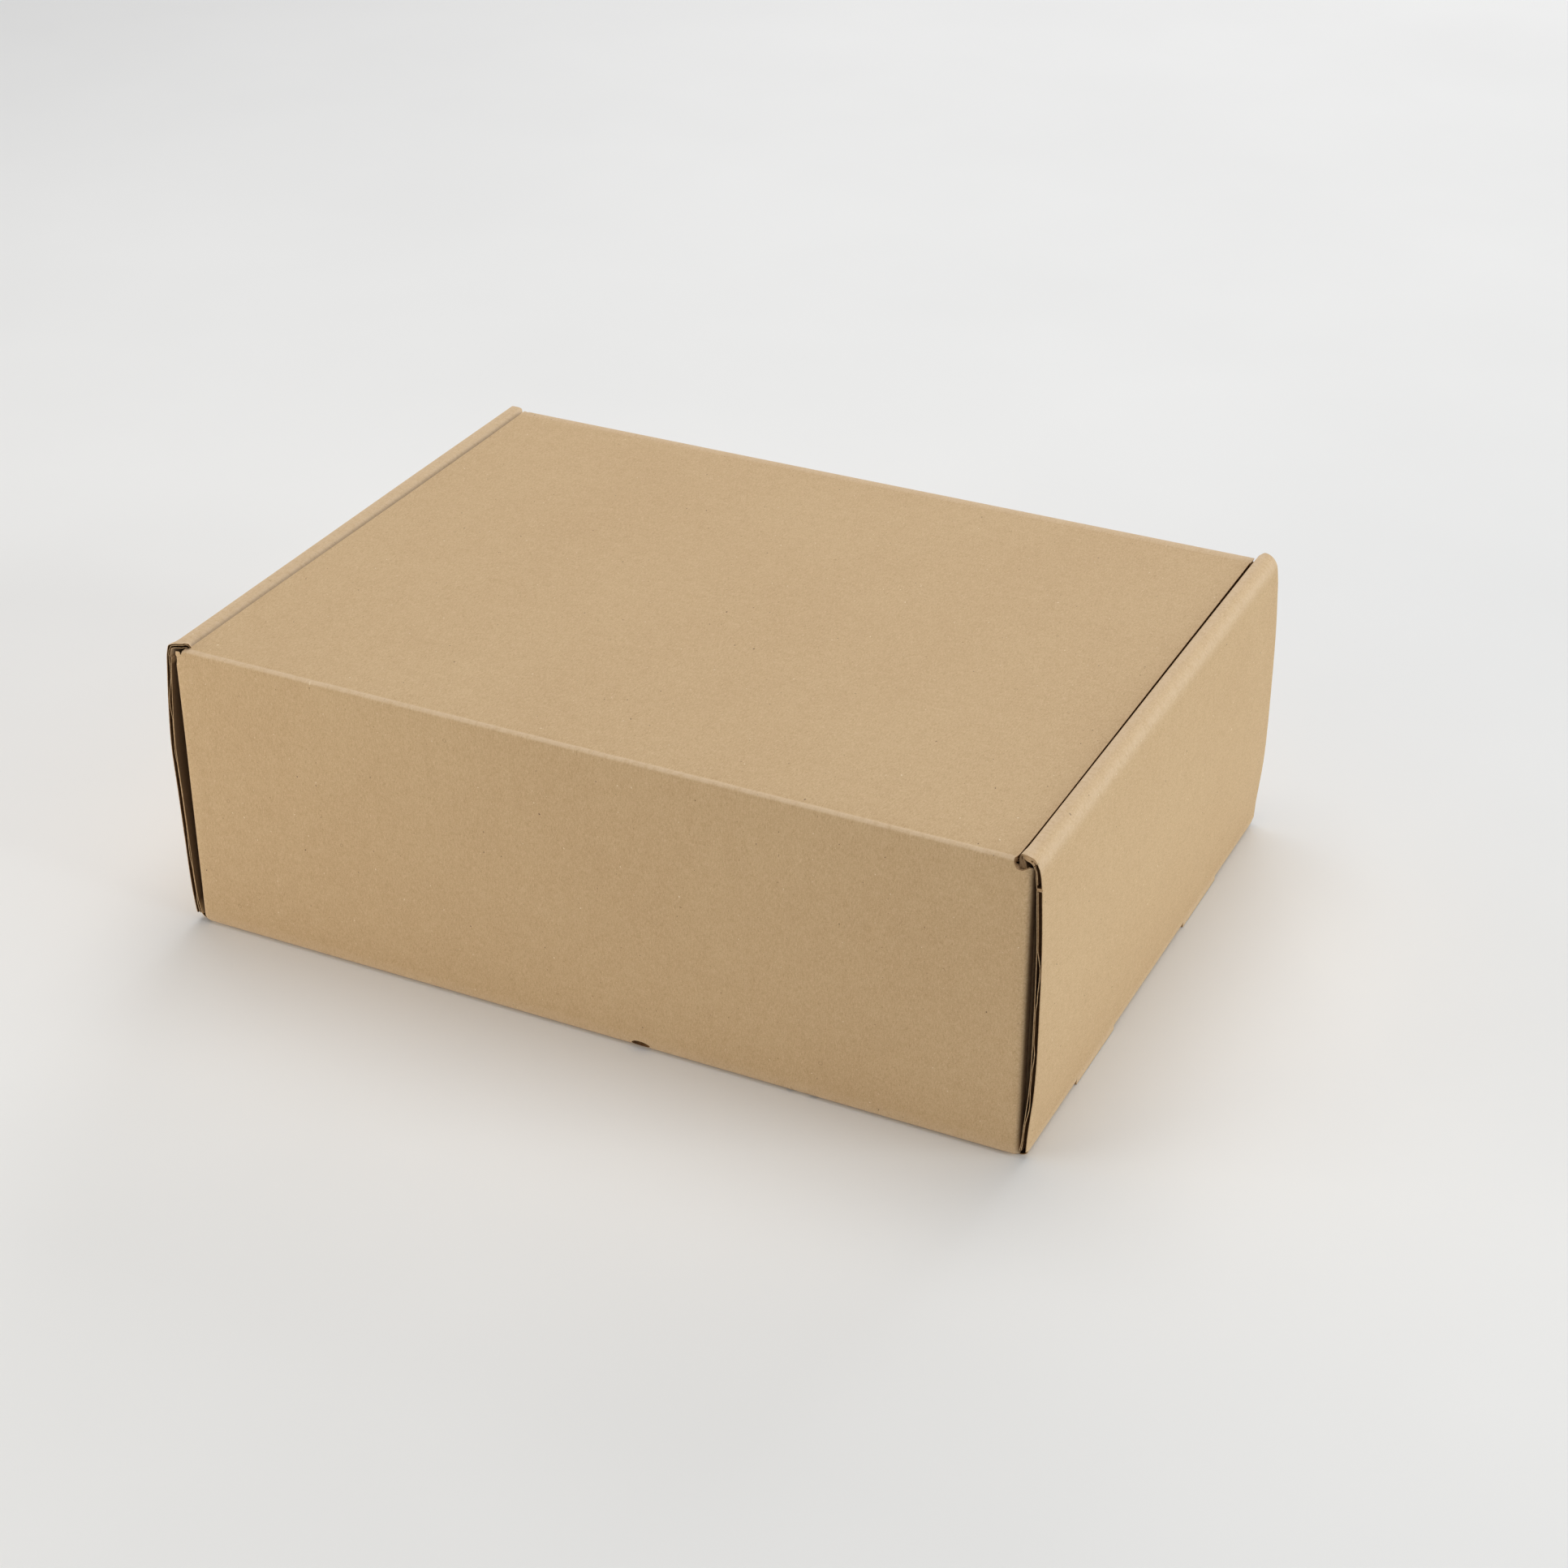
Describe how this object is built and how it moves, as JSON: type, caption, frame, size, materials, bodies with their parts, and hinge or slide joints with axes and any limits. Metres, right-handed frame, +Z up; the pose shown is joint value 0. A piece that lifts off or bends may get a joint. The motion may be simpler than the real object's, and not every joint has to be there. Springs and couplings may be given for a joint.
{
  "type": "cardboard mailer box",
  "caption": "Closed roll-end mailer box of kraft corrugated cardboard, with a hinged lid whose front flap tucks in and rolled double side walls.",
  "frame": {"origin": "middle of the underside, on the surface the box stands on", "axes": "+Z up, +X along the length, +Y from the wall that carries the lid's crease towards the wall it tucks behind"},
  "size_m": [0.4061, 0.289, 0.141],
  "materials": {
    "kraft_board": "matte, uncoated brown kraft liner"
  },
  "bodies": {
    "tray": {"tray": "kraft_board"},
    "lid": {"lid": "kraft_board"},
    "tuck_flap": {"tuck_flap": "kraft_board"}
  },
  "joints": [
    {"name": "lid_hinge", "type": "hinge", "parent": "tray", "child": "lid", "pos_m": [0, -0.143, 0.1371], "axis": [1, 0, 0], "range_deg": [0, 180]},
    {"name": "tuck_fold", "type": "hinge", "parent": "lid", "child": "tuck_flap", "pos_m": [0, 0.1365, 0.13525], "axis": [1, 0, 0], "range_deg": [-81, 0]}
  ],
  "couplings": [
    {"joint": "tuck_fold", "follows": "lid_hinge", "ratio": -0.45}
  ]
}
